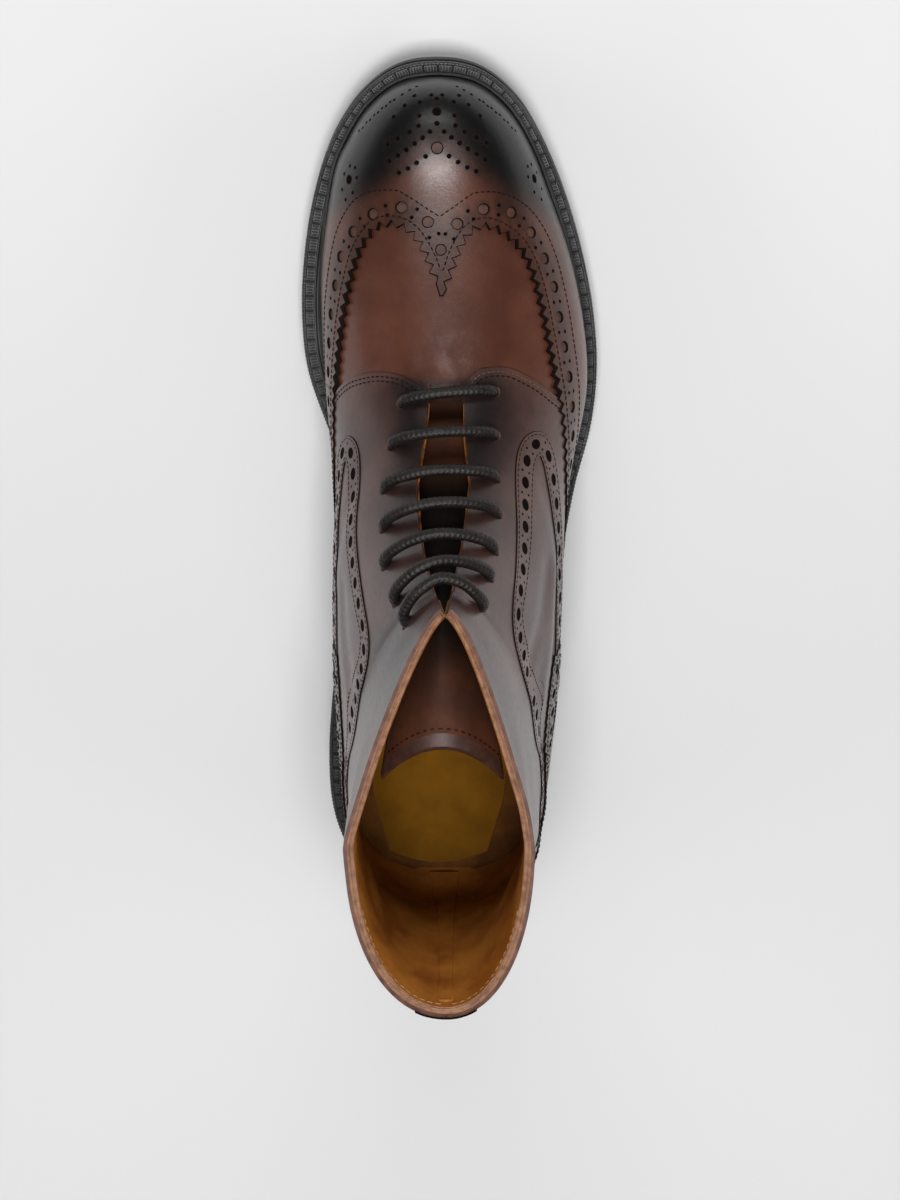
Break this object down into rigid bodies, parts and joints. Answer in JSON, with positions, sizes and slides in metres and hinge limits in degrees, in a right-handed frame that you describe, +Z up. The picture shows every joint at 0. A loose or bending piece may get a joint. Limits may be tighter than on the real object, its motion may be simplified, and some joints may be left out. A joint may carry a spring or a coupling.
{
  "type": "ankle boot",
  "caption": "Brown leather brogue ankle boot for the right foot: wing cap, open lacing over a tongue, storm welt, stacked rubber sole and heel.",
  "frame": {"origin": "on the floor, under the middle of the outsole's length and width", "axes": "+Y toward the heel, -Y toward the toe, +X the inner (medial) side of this right boot, +Z up"},
  "size_m": [0.1072, 0.308, 0.165],
  "materials": {
    "leather": "polished smooth calf",
    "leather_dark": "burnished smooth calf",
    "tongue_leather": "soft smooth leather",
    "lace_cord": "waxed round braid",
    "insole_leather": "smooth vegetable-tanned lining leather",
    "rubber": "satin black rubber"
  },
  "bodies": {
    "root": {"upper": "leather", "wing_cap": "leather_dark", "quarter_medial": "leather", "quarter_lateral": "leather", "strip_medial": "leather_dark", "strip_lateral": "leather_dark", "heel_counter": "leather_dark", "backstay": "leather_dark", "tongue": "tongue_leather", "lace": "lace_cord", "insole": "insole_leather", "welt": "rubber", "midsole": "rubber", "outsole": "rubber", "heel_block": "rubber", "heel_lift": "rubber"}
  },
  "joints": []
}
